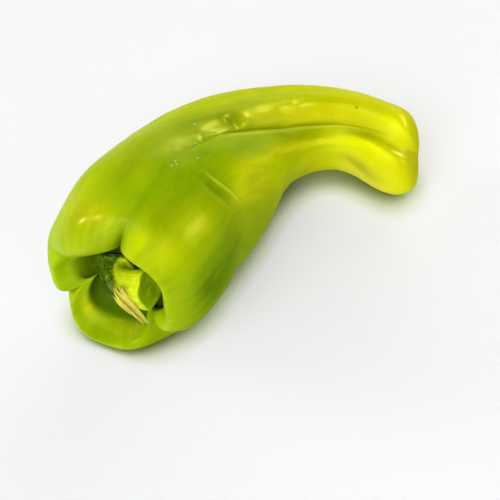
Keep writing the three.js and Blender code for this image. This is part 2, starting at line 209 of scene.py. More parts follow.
# Slow waves of the skin: length and height.
SKIN_WAVES = [[13, 0.35], [5, 0.09], [2.4, 0.02]]
# Shares of the way where the small relief and the waves start, are full, fade and end.
RELIEF_SPAN = [0.28, 0.34, 0.95, 1]
WAVE_SPAN = [0.08, 0.2, 0.97, 1]
# The waves are flat at the lower of these heights, where the pod lies on something.
SETTLED_HEIGHTS = [1, 6]

# Knots down the skin from the middle of the recess to the tip, as a share of the way.
KNOTS = np.array([0, 0.05, 0.1, 0.155, 0.205, 0.255, 0.31, 0.4, 0.55, 0.68, 0.8, 0.88])
DOME_START = 0.88
# Stretches of the way with the number of mesh rows in each.
ROWS = [
    [0, 0.05, 6], [0.05, 0.155, 26], [0.155, 0.31, 50], [0.31, 0.36, 14],
    [0.36, 0.47, 50], [0.47, 0.62, 56], [0.62, 0.88, 66], [0.88, 1, 28],
]
# Mesh columns in each lobe, and how far they crowd towards the creases.
COLUMNS = [80, 46, 60, 130]
CROWDING = 0.09


def spline(rows):
    """Natural cubic spline through rows of place, value, value, straight beyond its ends."""
    rows = np.array(rows, float)
    x, y = rows[:, 0], rows[:, 1:]
    gaps = np.diff(x)
    matrix = np.eye(len(x))
    jumps = np.zeros_like(y)
    for i in range(1, len(x) - 1):
        matrix[i, i - 1:i + 2] = gaps[i - 1], 2 * (gaps[i - 1] + gaps[i]), gaps[i]
        jumps[i] = 6 * ((y[i + 1] - y[i]) / gaps[i] - (y[i] - y[i - 1]) / gaps[i - 1])
    bend = np.linalg.solve(matrix, jumps)

    def at(place):
        place = np.asarray(place, float)
        inside = np.clip(place, x[0], x[-1])
        i = np.clip(np.searchsorted(x, inside, side="right") - 1, 0, len(x) - 2)
        step = gaps[i][..., None]
        u = (inside - x[i])[..., None]
        slope = (y[i + 1] - y[i]) / step - step * (2 * bend[i] + bend[i + 1]) / 6
        growth = (bend[i + 1] - bend[i]) / step
        value = y[i] + slope * u + bend[i] * u ** 2 / 2 + growth * u ** 3 / 6
        beyond = (place - inside)[..., None]
        return value + beyond * (slope + bend[i] * u + growth * u ** 2 / 2)

    return at


def ramp(x, low, high):
    """Eases from 0 at low to 1 at high."""
    share = np.clip((np.asarray(x, float) - low) / (high - low), 0, 1)
    return share * share * (3 - 2 * share)


def window(x, start, full, fade, end):
    """Eases from 0 at start to 1 at full, and back from fade to end."""
    return ramp(x, start, full) * (1 - ramp(x, fade, end))


def turn(angle, centre):
    """Signed angle from a centre, between -180 and 180."""
    return (np.asarray(angle, float) - centre + 180) % 360 - 180


def hill(x):
    return np.exp(-np.square(x))


def add_hills(field, rows, distance, angle):
    """Adds hills to a field over the skin: distance, angle, half length, half angle, height."""
    for place, centre, half_length, half_angle, height in rows:
        field += height * hill((distance - place) / half_length) * hill(turn(angle, centre) / half_angle)
    return field


centre_at = spline(CENTRE_LINE)
half_widths_at = spline(HALF_WIDTHS)
twist_at = spline(TWIST)
groove_at = spline(GROOVE)
crest_at = spline(CREST)
groove_line_at = spline(GROOVE_LINE)
fold_lines = [[height, width, spline(line), line[0][0], line[-1][0]] for height, width, line in FOLDS]
lobes_before = [[row[0] - 360, *row[1:]] for row in LOBES[-3:]]
lobes_after = [[row[0] + 360, *row[1:]] for row in LOBES[:3]]
lobe_at = spline(lobes_before + LOBES + lobes_after)


def unit(vectors):
    return vectors / np.linalg.norm(vectors, axis=-1, keepdims=True)


def frame_at(distance):
    """Place on the centre line, and the directions along it, to the inner side and up."""
    along = unit(centre_at(distance + 1) - centre_at(distance - 1))
    inner = unit(np.cross(along, [0, 0, 1]))
    return centre_at(distance), along, inner, np.cross(inner, along)


def radius_at(lean, distance):
    inner, top, outer, bottom = np.moveaxis(half_widths_at(distance), -1, 0)
    across, upwards = np.cos(lean), np.sin(lean)
    return 1 / np.hypot(
        across / np.where(across > 0, inner, outer),
        upwards / np.where(upwards > 0, top, bottom),
    )


def knots_down(angle):
    """Distance and share of the radius at each knot, for an array of angles."""
    start = (angle - CREASES[0]) % 360 + CREASES[0]
    edges = np.array([*CREASES, CREASES[0] + 360])
    lobe = np.searchsorted(edges, start, side="right") - 1
    across = (start - edges[lobe]) / (edges[lobe + 1] - edges[lobe])
    left = np.array(CREASE_LEFT, float)
    rounding = np.array(CREASE_ROUNDING)
    nearer = ramp(across, 0, 1)
    mixed = left[lobe] + (left[(lobe + 1) % 4] - left[lobe]) * nearer[:, None]
    power = rounding[lobe] + (rounding[(lobe + 1) % 4] - rounding[lobe]) * nearer
    bulge = (1 - np.abs(2 * across - 1) ** CREASE_SHARPNESS) ** power
    full = 1 - (1 - bulge)[:, None] * mixed
    height, wall, lip, crest, shoulder = lobe_at(start).T
    even = np.ones_like(height)
    lobe_tops = [
        [(RECESS_DEPTH - 6) * even, wall], [1.5 - height * 0.88, lip], [-2.5 - height, crest],
        [4 - height, shoulder], [6 * even, even], [25 * even, even],
    ]
    distance = [RECESS_DEPTH * even, RECESS_DEPTH * even]
    share = [0 * even, RECESS_FLOOR * even]
    for (low, low_share), (high, high_share), level in zip(CREASE_BOTTOM, lobe_tops, CREASE_LEVELS):
        distance.append(low + (high - low) * full[:, level])
        share.append(low_share + (high_share - low_share) * full[:, level])
    distance += [place * even for place in BODY_KNOTS]
    share += [even] * len(BODY_KNOTS)
    return np.stack([distance, share], axis=-1)


def run_down(way, angle):
    """Distance and share of the radius for every way (rows) and angle (columns)."""
    knots = knots_down(angle)
    gaps = np.diff(KNOTS)[:, None, None]
    chords = np.diff(knots, axis=0) / gaps
    slopes = np.empty_like(knots)
    slopes[0] = chords[0]
    slopes[1:-1] = (chords[:-1] * gaps[1:] + chords[1:] * gaps[:-1]) / (gaps[:-1] + gaps[1:])
    slopes[-1] = [TIP_DOME * math.pi / 2 / (1 - DOME_START), 0]
    i = np.clip(np.searchsorted(KNOTS, way, side="right") - 1, 0, len(KNOTS) - 2)
    step = gaps[i]
    x = ((way - KNOTS[i])[:, None, None]) / step
    run = (
        (2 * x ** 3 - 3 * x ** 2 + 1) * knots[i] + (x ** 3 - 2 * x ** 2 + x) * step * slopes[i]
        + (3 * x ** 2 - 2 * x ** 3) * knots[i + 1] + (x ** 3 - x ** 2) * step * slopes[i + 1]
    )
    lean = np.clip((way - DOME_START) / (1 - DOME_START), 0, 1) * math.pi / 2
    reach = sum(height * hill(turn(angle, centre) / half_angle) for centre, half_angle, height in TIP_REACH)
    dome = np.stack([
        (LENGTH - TIP_DOME + TIP_DOME * np.sin(lean))[:, None] + np.outer(np.sin(2 * lean), reach),
        np.broadcast_to(np.maximum(np.cos(lean), 0)[:, None] ** 0.8, (len(way), len(angle))),
    ], axis=-1)
    return np.where((way >= DOME_START)[:, None, None], dome, run)


def relief(distance, angle, way):
    """Height of dents, puckers and folds above the plain skin."""
    height = add_hills(np.zeros_like(distance), SWELLINGS, distance, angle)
    beside = (turn(angle, CREASES[0]) + GROOVE_HALF_ANGLE) / SIDE_HOLLOW_HALF_ANGLE
    height -= SIDE_HOLLOW * hill(beside) * window(distance, *SIDE_HOLLOW_SPAN)
    crest_line = crest_at(distance)[..., 0]
    valley_line = (crest_line + groove_line_at(distance)[..., 0]) / 2 + 2
    along = window(distance, *CREST_SPAN)
    height += CREST_HEIGHT * along * hill(turn(angle, crest_line) / CREST_HALF_ANGLE)
    height -= VALLEY_DEPTH * along * hill(turn(angle, valley_line) / VALLEY_HALF_ANGLE)
    off_groove = turn(angle, groove_line_at(distance)[..., 0])
    along = window(distance, *NOTCH_SPAN)
    jagged = 0.7 * np.sin(distance * 1.9) + 0.5 * np.sin(distance * 3.7 + 1)
    height -= NOTCH_DEPTH * along * hill((off_groove - jagged) / NOTCH_HALF_ANGLE)
    height += NOTCH_LIP * along * hill((off_groove + NOTCH_LIP_ANGLE) / NOTCH_LIP_HALF_ANGLE)
    for rise, width, line, low, high in fold_lines:
        folded = window(angle % 360, low, low + 7, high - 9, high)
        height += rise * folded * hill((distance - line(np.clip(angle % 360, low, high))[..., 0]) / width)
    ripples = np.sin(distance * 2.3 + angle * 0.2) * hill((distance - RIPPLES_ALONG[0]) / RIPPLES_ALONG[1])
    height += RIPPLE_HEIGHT * ripples * hill(turn(angle, RIPPLES_ROUND[0]) / RIPPLES_ROUND[1])
    return height * window(way, *RELIEF_SPAN)


def unevenness(places):
    """Slow natural waves of the skin, by place."""
    return np.array([
        sum(noise.noise(place / length) * height for length, height in SKIN_WAVES)
        for place in map(Vector, places)
    ])


def skin_grid(way, angle, fine=True):
    """Places on the pod for every way (rows) and angle (columns), with the distances along it."""
    distance, share = np.moveaxis(run_down(way, angle), -1, 0)
    angles = np.broadcast_to(angle, distance.shape)
    ways = np.broadcast_to(way[:, None], distance.shape)
    lean = np.radians(angles + twist_at(distance)[..., 0])
    radius = share * radius_at(lean, distance)
    corner = hill(turn(angles, CORNER_ANGLE) / CORNER_HALF_ANGLE) * (1 - ramp(distance, *CORNER_FADE))
    radius *= 1 + CORNER_GROWTH * corner
    off_groove = turn(angles, groove_line_at(distance)[..., 0])
    off = np.minimum(np.abs(off_groove) / GROOVE_HALF_ANGLE, 1)
    valley = (1 - off ** (1 + ramp(distance, *GROOVE_ROUND))) ** 2
    radius *= 1 - np.maximum(groove_at(distance)[..., 0], 0) * valley
    radius += relief(distance, angles, ways)
    centre, _, inner, upwards = frame_at(distance)
    shift = 1 - ramp(ways, *RECESS_SHIFT_FADE)
    floor_shift = 1 - ramp(ways, *FLOOR_SHIFT_FADE)

    def spot(reach):
        sideways = RECESS_SHIFT[0] * shift + FLOOR_SHIFT[0] * floor_shift + reach * np.cos(lean)
        rise = RECESS_SHIFT[1] * shift + FLOOR_SHIFT[1] * floor_shift + reach * np.sin(lean)
        return centre + inner * sideways[..., None] + upwards * rise[..., None]

    places = spot(radius)
    if fine:
        waves = unevenness(places.reshape(-1, 3)).reshape(distance.shape)
        settled = ramp(places[..., 2], *SETTLED_HEIGHTS)
        places = spot(radius + waves * settled * window(ways, *WAVE_SPAN))
    places[..., 2] = np.maximum(places[..., 2], 0)
    return places, distance


def closed_mesh(name, rings, fields):
    """A closed mesh over rings of points whose first and last rings are single points."""
    columns = rings.shape[1]
    middle = rings[1:-1].reshape(-1, 3)
    points = np.vstack([rings[:1, 0], middle, rings[-1:, 0]])
    last = len(points) - 1
    ring = np.arange(last - 1).reshape(-1, columns) + 1
    ahead = np.roll(ring, -1, axis=1)
    quads = np.stack([ring[:-1], ring[1:], ahead[1:], ahead[:-1]], axis=-1).reshape(-1, 4)
    start = [[0, a, b] for a, b in zip(ring[0], ahead[0])]
    end = [[last, b, a] for a, b in zip(ring[-1], ahead[-1])]
    mesh = bpy.data.meshes.new(name)
    mesh.from_pydata(points * MM, [], start + quads.tolist() + end)
    mesh.shade_smooth()
    for field, values in fields.items():
        flat = np.concatenate([values[:1, 0], values[1:-1].reshape(-1, *values.shape[2:]), values[-1:, 0]])
        kind = "FLOAT" if flat.ndim == 1 else "FLOAT_VECTOR"
        attribute = mesh.attributes.new(field, kind, "POINT")
        attribute.data.foreach_set("value" if flat.ndim == 1 else "vector", flat.astype(np.float32).ravel())
    mesh.update()
    piece = bpy.data.objects.new(name, mesh)
    bpy.context.scene.collection.objects.link(piece)
    return piece


def stretches(rows):
    """Every step from the first stretch's start to the last one's end."""
    steps = [np.linspace(start, end, count, endpoint=False) for start, end, count in rows]
    return np.concatenate([*steps, [rows[-1][1]]])


pod_ways = stretches(ROWS)
lobe_edges = [*CREASES, CREASES[0] + 360]
pod_angles = []
for lobe, count in enumerate(COLUMNS):
    even = np.arange(count) / count
    crowded = even - CROWDING * np.sin(2 * math.pi * even)
    pod_angles.append(lobe_edges[lobe] + (lobe_edges[lobe + 1] - lobe_edges[lobe]) * crowded)
pod_angles = np.concatenate(pod_angles)

# The plain skin is set where the frame has it, which also places everything drawn with it.
plain, _ = skin_grid(pod_ways, pod_angles, fine=False)
pod_low, pod_high = [np.array(corner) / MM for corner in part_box("pod")]
plain_middle = (plain.reshape(-1, 3).min(0) + plain.reshape(-1, 3).max(0)) / 2
drawing_origin = (pod_low + pod_high) / 2 - plain_middle
drawing_origin[2] = 0

pod_places, pod_distance = skin_grid(pod_ways, pod_angles)
pod_turn = np.broadcast_to(pod_angles, pod_distance.shape)
pod_way = np.broadcast_to(pod_ways[:, None], pod_distance.shape)

# How yellow the skin has ripened, from the mid-green neck to the tip: distance and share.
RIPENESS = [
    [-20, 0.44], [0, 0.41], [30, 0.42], [56, 0.52], [72, 0.68],
    [88, 0.8], [108, 0.92], [125, 0.98], [145, 1],
]
# Patches that are yellower or greener. Some are the skin's own tone, and some are painted light: painted
# highlights on lit lobes, lips and walls, and painted shade on the inner flank near the stem end: distance,
# angle, half length, half angle, change.
RIPENESS_AND_LIGHT_PATCHES = [
    [20, 132, 60, 26, 0.2],
    [25, 68, 18, 12, -0.1],
    [-10, 62, 7, 20, 0.2],
    [-14, 12, 5, 30, 0.15],
    [-11.5, 108, 5, 22, 0.1],
    [-7, 112, 7, 30, 0.1],
    [-8.5, 106, 3.5, 12, 0.28],
    [10, 58, 8, 10, -0.1],
    [62, 98, 4, 8, -0.2],
    [30, 94, 18, 14, 0.12],
    [8, 81, 18, 3.5, -0.2],
    [3, 45, 13, 18, 0.32],
    [36, 32, 14, 16, 0.25],
    [50, 34, 14, 18, 0.2],
    [84, 20, 24, 26, 0.05],
    [4, 6, 16, 20, -0.22],
    [-7, 2, 8, 20, -0.15],
    [90, 98, 20, 9, 0.35],
    [60, 96, 16, 7, 0.2],
    [-8, 242, 3, 14, 0.5],
    [-10.5, 68, 4, 6.5, 0.14],
    [-9.5, 275, 3, 22, 0.2],
]
# A painted highlight makes the crest yellower, and painted shade makes the side between it and the groove
# greener: change, then the middle as an angle from the crest, half angle, and the distances where it starts,
# is full, fades and ends.
CREST_LIGHT_AND_SHADE_BANDS = [
    [0.3, 0, 6, [26, 44, 100, 125]],
    [-0.12, 16, 8, [26, 50, 110, 130]],
]
ripeness = spline(RIPENESS)(pod_distance)[..., 0]
add_hills(ripeness, RIPENESS_AND_LIGHT_PATCHES, pod_distance, pod_turn)
off_crest = turn(pod_turn, crest_at(pod_distance)[..., 0])
for change, middle, half_angle, span in CREST_LIGHT_AND_SHADE_BANDS:
    ripeness += change * hill((off_crest - middle) / half_angle) * window(pod_distance, *span)

# Painted light and shade, lighter and darker places where more or less light falls: distance, angle, half
# length, half angle, change of the colour's lightness.
PAINTED_LIGHT_AND_SHADE = [
    [-9, 290, 7, 34, -0.4],
    [-13, 240, 7, 30, -0.2],
    [-14, 120, 6, 24, -0.25],
    [-16, 40, 5, 40, -0.2],
    [-6, 66, 10, 9, -0.15],
    [30, 98, 40, 8, -0.12],
    [66, 40, 26, 14, 0.18],
    [36, 34, 9, 10, 0.25],
    [88, 12, 10, 14, 0.15],
    [2, 240, 8, 60, -0.2],
    [96, 78, 20, 9, -0.15],
    [0, 66, 16, 14, -0.1],
    [112, 78, 12, 12, -0.2],
    [56, 100, 12, 9, -0.12],
    [40, 30, 14, 14, -0.1],
    [4, 8, 18, 20, -0.2],
    [-13, 200, 5, 20, 0.15],
    [126, 60, 9, 10, 0.15],
    [128, 108, 6, 14, 0.2],
    [116, 8, 10, 14, -0.3],
    [112, 100, 18, 16, -0.15],
    [134, 40, 8, 40, -0.12],
    [60, 108, 16, 9, -0.15],
    [76, 26, 12, 12, 0.2],
    [120, 82, 9, 16, -0.15],
    [120, 14, 8, 14, -0.15],
    [-9, 109, 4, 15, -0.18],
    [15, 100, 30, 25, -0.05],
    [-11, 82, 8, 5, -0.25],
    [62, 99, 3.5, 8, -0.15],
    [-10.5, 68, 4, 6.5, 0.12],
    [-13.3, 243, 3, 10, 0.22],
    [-8, 110, 4, 8, -0.08],
    [10, 104, 8, 10, -0.12],
]
lightness = add_hills(np.ones_like(pod_distance), PAINTED_LIGHT_AND_SHADE, pod_distance, pod_turn)

# Painted highlights on the fold's rim and on two creases below it: distance from the rim, half width,
# amount.
FOLD_HIGHLIGHT_LINES = [[0, 0.65, 0.38], [-6.8, 0.4, 0.14], [-8.6, 0.5, 0.14]]
FOLD_SPAN = [26, 40, 50, 64]
# Painted shade in its furrow, greener and darker: distance from the rim, half width, change of ripeness and
# of lightness.
FURROW_SHADE = [-3.8, 3.2, -0.2, -0.07]
_, _, fold_at, fold_start, fold_end = fold_lines[0]
fold_angle = pod_turn % 360
off_fold = pod_distance - fold_at(np.clip(fold_angle, fold_start, fold_end))[..., 0]
fold_reach = window(fold_angle, *FOLD_SPAN)
pale = np.zeros_like(pod_distance)
for gap, half_width, amount in FOLD_HIGHLIGHT_LINES:
    pale += amount * fold_reach * hill((off_fold - gap) / half_width)
furrow_shade = fold_reach * hill((off_fold - FURROW_SHADE[0]) / FURROW_SHADE[1])
ripeness += FURROW_SHADE[2] * furrow_shade
lightness += FURROW_SHADE[3] * furrow_shade
# Painted reflections over the puckers, as pale patches: distance, angle, half length, half angle, amount.
PUCKER_REFLECTION_PATCHES = [
    [30.5, 84.5, 2.5, 3, 0.3],
    [26.5, 88, 2.2, 3.5, 0.2],
    [36, 90, 5, 4.5, 0.4],
    [53, 95, 4, 6, 0.35],
    [68, 100, 2, 5, 0.25],
    [74, 92, 5, 3, 0.2],
    [86, 100, 6, 5, 0.15],
]
add_hills(pale, PUCKER_REFLECTION_PATCHES, pod_distance, pod_turn)
# Painted highlights also run in a line along the groove's front lip and in a wavy one along the crest:
# amount, half angle, span.
LIP_HIGHLIGHT = [0.3, 2.5, [46, 58, 100, 115]]
LIP_ANGLE = 6
WAVY_HIGHLIGHT = [0.2, 2.2, [56, 64, 96, 106]]
off_groove = turn(pod_turn, groove_line_at(pod_distance)[..., 0])
off_wavy = off_crest + 2.5 * np.sin(pod_distance * 0.35)
for gap, (amount, half_angle, span) in ((off_groove + LIP_ANGLE, LIP_HIGHLIGHT), (off_wavy, WAVY_HIGHLIGHT)):
    pale += amount * hill(gap / half_angle) * window(pod_distance, *span)

# The recess is painted with shade: deep green up to its lip, which is nearer to the middle in the lowest
# lobe, and darkest on its floor. Both are weaker in the small outer lobe.
RECESS_EDGE = 0.13
RECESS_FADE = 0.035
LOWEST_LOBE = [262, 42, 0.018]
FLOOR_FADE = [0.055, 0.1]
OUTER_LOBE = 190
recess_edge = RECESS_EDGE - LOWEST_LOBE[2] * hill(turn(pod_turn, LOWEST_LOBE[0]) / LOWEST_LOBE[1])
off_outer = turn(pod_turn, OUTER_LOBE)
recess = (1 - ramp(pod_way, recess_edge, recess_edge + RECESS_FADE)) * (1 - 0.4 * hill(off_outer / 24))
recess_floor = (1 - ramp(pod_way, *FLOOR_FADE)) * (1 - 0.2 * hill(off_outer / 30))

# How much wax the skin has, and where that differs: distance, angle, half length, half angle, change.
WAX = 0.4
WAX_PATCHES = [
    [40, 62, 17, 17, -0.4],
    [17, 54, 11, 18, -0.5],
    [33, 50, 9, 10, -0.2],
    [-5, 20, 20, 40, -0.15],
    [56, 97, 22, 9, -0.1],
    [-9, 100, 7, 30, 0.35],
    [20, 50, 5, 16, -0.3],
    [-8, 68, 8, 14, -0.4],
    [-10, 285, 5, 34, -0.35],
]
wax = add_hills(np.full_like(pod_distance, WAX), WAX_PATCHES, pod_distance, pod_turn)

# The groove's bottom is painted with a line of shade that grows fainter down the body, with pale crumbs
# along its start.
GROOVE_LINE_HALF_ANGLE = 1.6
GROOVE_LINE_SPAN = [22, 40, 96, 114]
GROOVE_LINE_FAINTER = [56, 80]
CRUMB_HALF_ANGLE = 3.5
CRUMB_SPAN = [22, 30, 62, 76]
groove_line = hill(off_groove / GROOVE_LINE_HALF_ANGLE) * window(pod_distance, *GROOVE_LINE_SPAN)
groove_line *= 1 - 0.7 * ramp(pod_distance, *GROOVE_LINE_FAINTER)
crumbs = hill((off_groove + 1) / CRUMB_HALF_ANGLE) * window(pod_distance, *CRUMB_SPAN)
# The colour runs in streaks down the body, which are weaker towards the tip.
GRAIN_LENGTH = 130
STREAK_FADE = [60, 100]
streak_share = 1 - 0.6 * ramp(pod_distance, *STREAK_FADE)
pod_radians = np.radians(pod_turn)
grain = np.stack([np.cos(pod_radians), np.sin(pod_radians), pod_distance / GRAIN_LENGTH], axis=-1)
pod = closed_mesh("pod_skin", pod_places + drawing_origin, {
    "ripeness": ripeness, "lightness": lightness, "pale": pale, "recess": recess,
    "recess_floor": recess_floor, "streak_share": streak_share, "groove_line": groove_line,
    "crumbs": crumbs, "wax": np.clip(wax, 0, 1), "grain": grain,
})


class Channel:
    """A socket of a material, on which Python's operators add Math nodes."""

    def __init__(self, finish, socket):
        self.finish = finish
        self.socket = socket

    def maths(self, operation, first, second):
        return self.finish.node("ShaderNodeMath", {"operation": operation}, {0: first, 1: second})

    def __add__(self, other):
        return self.maths("ADD", self, other)

    __radd__ = __add__

    def __sub__(self, other):
        return self.maths("SUBTRACT", self, other)

    def __rsub__(self, other):
        return self.maths("SUBTRACT", other, self)

    def __mul__(self, other):
        return self.maths("MULTIPLY", self, other)

    __rmul__ = __mul__


class Finish:
    """The nodes of one material, or of the sky, and the shader that they feed."""

    def __init__(self, owner, shader="Principled BSDF", **numbers):
        owner.use_nodes = True
        self.owner = owner
        self.tree = owner.node_tree
        self.shader = self.tree.nodes[shader]
        self.feed(self.shader, {name.replace("_", " "): value for name, value in numbers.items()})

    def feed(self, node, sockets):
        for key, value in sockets.items():
            if isinstance(value, Channel):
                self.tree.links.new(value.socket, node.inputs[key])
            else:
                node.inputs[key].default_value = value

    def node(self, kind, settings, sockets, output=0):
        """Adds a node: its settings first, a ramp's stops among them, then its sockets' values or links."""
        node = self.tree.nodes.new(kind)
        for name, value in settings.items():
            if name == "stops":
                while len(node.color_ramp.elements) < len(value):
                    node.color_ramp.elements.new(1)
                for element, (place, colour) in zip(node.color_ramp.elements, value):
                    element.position = place
                    element.color = colour
            else:
                setattr(node, name, value)
        self.feed(node, sockets)
        return Channel(self, node.outputs[output])

    def field(self, name, output="Fac"):
        return self.node("ShaderNodeAttribute", {"attribute_name": name}, {}, output)

    def position(self):
        return self.node("ShaderNodeNewGeometry", {}, {}, "Position")

    def gap_from(self, place):
        """Distance in metres from a place that is given in millimetres."""
        return self.node("ShaderNodeVectorMath", {"operation": "DISTANCE"}, {
            0: self.position(), 1: Vector(place * MM),
        }, "Value")

    def cloud(self, size, detail=2, place=None, rough=0.5):
        """Noise from 0 to 1, with waves about that many metres long."""
        return self.node("ShaderNodeTexNoise", {}, {
            "Vector": place or self.position(), "Scale": 1 / size, "Detail": detail, "Roughness": rough,
        })

    def level(self, value, low, high, start=0.0, end=1.0):
        return self.node("ShaderNodeMapRange", {"interpolation_type": "SMOOTHSTEP"}, {
            "Value": value, "From Min": low, "From Max": high, "To Min": start, "To Max": end,
        })

    def stops(self, value, rows):
        return self.node("ShaderNodeValToRGB", {"stops": rows}, {"Fac": value})

    def blend(self, share, first, second):
        return self.node("ShaderNodeMix", {"data_type": "RGBA"}, {0: share, 6: first, 7: second}, 2)

    def bump(self, height, distance, strength=1.0, normal=None):
        sockets = {"Height": height, "Distance": distance, "Strength": strength}
        if normal is not None:
            sockets["Normal"] = normal
        return self.node("ShaderNodeBump", {}, sockets)


def colour(red, green, blue):
    """A display colour from 0 to 255 as the linear colour that a shader takes."""
    shares = [value / 255 for value in (red, green, blue)]
    linear = [share / 12.92 if share <= 0.04 else ((share + 0.055) / 1.055) ** 2.4 for share in shares]
    return (*linear, 1.0)


SHADE_GREEN = colour(92, 128, 2)
LEAF_GREEN = colour(124, 160, 3)
NECK_GREEN = colour(144, 172, 3)
MID_GREEN = colour(162, 183, 3)
LIME_YELLOW = colour(185, 196, 3)
RIPE_YELLOW = colour(214, 214, 4)
# A pale colour for painted highlights, then greens for painted shade in the recess and on its floor.
PAINTED_HIGHLIGHT_PALE = colour(226, 234, 84)
RECESS_SHADE_GREEN = colour(72, 100, 2)
RECESS_FLOOR_SHADE = colour(44, 68, 4)
TIP_SCAR = colour(150, 140, 50)
PALE_CRUMB = colour(226, 232, 170)
DARK_SPECK = colour(96, 92, 20)

# Lengths in metres of the skin's noise, from the streaks down the body to its pores.
STREAK_SIZE = 0.09
RIB_SIZE = 0.035
MOTTLE_SIZE = 0.011
WAVE_SIZE = 0.0045
FLOOR_SPOT_SIZE = 0.0016
PORE_SIZE = 0.0009
CRUMB_SIZE = 0.0008

# The thin coat of wax gives all of the skin's shine.
skin = Finish(
    bpy.data.materials.new("waxy_skin"), Specular_IOR_Level=0.0, Coat_IOR=1.4, Coat_Roughness=0.24,
    Subsurface_Weight=0.2, Subsurface_Scale=0.003, Subsurface_Radius=(0.8, 1.0, 0.1),
)
mottle = skin.cloud(MOTTLE_SIZE, detail=3)
streaks = skin.cloud(STREAK_SIZE, detail=4, place=skin.field("grain", "Vector"), rough=0.6)
# The ripeness field holds painted highlights and shade as well as the skin's own tone.
ripe_and_painted_light = skin.field("ripeness") + (mottle - 0.5) * 0.3 + (streaks - 0.5) * skin.field("streak_share") * 0.5
skin_colour = skin.stops(ripe_and_painted_light, [
    (0.0, SHADE_GREEN), (0.2, LEAF_GREEN), (0.4, NECK_GREEN),
    (0.6, MID_GREEN), (0.8, LIME_YELLOW), (1.0, RIPE_YELLOW),
])
# Painted light and shade scale the colour lighter and darker.
skin_colour = skin.node("ShaderNodeVectorMath", {"operation": "SCALE"}, {
    0: skin_colour, "Scale": skin.field("lightness"),
})
# Painted highlights and reflections: the fold's rim, the puckers, the groove's lip and the crest.
skin_colour = skin.blend(skin.field("pale"), skin_colour, PAINTED_HIGHLIGHT_PALE)
# Painted shade in the recess, darker and spotted on its floor.
skin_colour = skin.blend(skin.field("recess"), skin_colour, RECESS_SHADE_GREEN)
floor_spots = skin.level(skin.cloud(FLOOR_SPOT_SIZE, detail=3), 0.3, 0.7, 1.0, 0.45)
skin_colour = skin.blend(skin.field("recess_floor") * floor_spots, skin_colour, RECESS_FLOOR_SHADE)
# Painted shade along the groove's bottom.
skin_colour = skin.blend(skin.field("groove_line") * 0.55, skin_colour, SHADE_GREEN)
crumb_spots = skin.level(skin.cloud(CRUMB_SIZE, detail=0) * skin.field("crumbs"), 0.66, 0.72)
skin_colour = skin.blend(crumb_spots * 0.7, skin_colour, PALE_CRUMB)
# Small marks: way, angle, radius in millimetres, and colour.
MARKS = [
    [0.831, 106, 0.5, DARK_SPECK],
    [1, 0, 1.1, TIP_SCAR],
    [0.379, 78, 0.4, PALE_CRUMB],
    [0.426, 70, 0.45, PALE_CRUMB],
    [0.528, 102, 0.4, PALE_CRUMB],
    [0.363, 78, 0.35, PALE_CRUMB],
    [0.372, 76, 0.3, PALE_CRUMB],
]
for way, angle, radius, mark_colour in MARKS:
    spot = skin_grid(np.array([way]), np.array([angle], float))[0][0, 0] + drawing_origin
    mark = skin.level(skin.gap_from(spot), radius * MM * 0.5, radius * MM * 1.3, 0.85, 0.0)
    skin_colour = skin.blend(mark, skin_colour, mark_colour)
fine_ribs = skin.cloud(RIB_SIZE, detail=3, place=skin.field("grain", "Vector"))
pores = skin.cloud(PORE_SIZE)
waves = skin.cloud(WAVE_SIZE)
skin_bump = skin.bump(fine_ribs, 0.0003, 0.08)
skin_bump = skin.bump(waves, 0.0003, 0.3, skin_bump)
skin_bump = skin.bump(pores, 0.00004, 0.3, skin_bump)
skin.feed(skin.shader, {
    "Base Color": skin_colour,
    "Roughness": 0.3 + mottle * 0.1,
    "Coat Weight": skin.field("wax") * (streaks * 0.8 + 0.6),
    "Normal": skin_bump,
})
pod.data.materials.append(skin.owner)
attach(pod, "root")
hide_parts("pod")


# The stem: a crumpled green calyx collar on the recess floor and a short thick ribbed stalk
# that bends to the inner side and up, cut off by a knife. Grown as one piece, firm and moist,
# it is rooted in the middle of the recess.
# Rings of the calyx: height above the recess floor, radius and share of the ripple round it.
CALYX = [
    [0.5, 0, 0], [0.5, 3, 0], [0.6, 5.5, 0.1], [1, 6.9, 0.5],
    [1.6, 7.3, 1], [2.2, 7.4, 1], [2.6, 7, 0.8], [2.8, 6.2, 0.5],
]
# Rings of the stalk and its cut face: share of the stalk's path, radius and share of the ripple.
STALK = [
    [0.1, 5.1, 0.3], [0.2, 4.7, 0.15], [0.35, 4.8, 0.1], [0.5, 5.2, 0.1], [0.65, 5.7, 0.1], [0.8, 6.2, 0.1],
    [0.92, 6.6, 0.1], [1, 6.7, 0.15], [1.03, 6.2, 0.3], [1.02, 4.4, 0.4], [1.01, 2.1, 0.3], [1, 0, 0],
]
# The path's four Bezier points: out of the recess, to the inner side and up.
STALK_PATH = np.array([[2.5, 1, 0.5], [8.5, 2.2, 1.8], [11.3, 8, 4.3], [12, 15.3, 7]])
STALK_RIDGES = 5
RIDGE_HEIGHT = 0.07
RIDGE_TURN = 0.35
# The strip of skin that tore loose from it runs along here.
STRIP_PATH = [
    [-44.0, -48.9, 31.7],
    [-42.3, -52.2, 31.3],
    [-40.1, -53.8, 29.5],
    [-38.0, -53.9, 26.8],
    [-36.4, -53.6, 23.9],
    [-35.0, -53.1, 20.9],
    [-33.6, -52.5, 17.8],
]
# Metres from its root over which the stalk is scarred.
SCAR_REACH = 0.0045
STEM_COLUMNS = 160
STEM_STEPS = 9
# The ring at which the cut face starts.
CUT_FACE = len(CALYX) + 8
CRUMPLE = 0.45
FINE_RIBS = 0.02
FINE_RIB_COUNT = 34
# The calyx ends at this ring, further along on the outer side: angle, half angle, change.
CALYX_END = 8
CALYX_REACH = [[165, 60, 4.5], [60, 45, -3]]

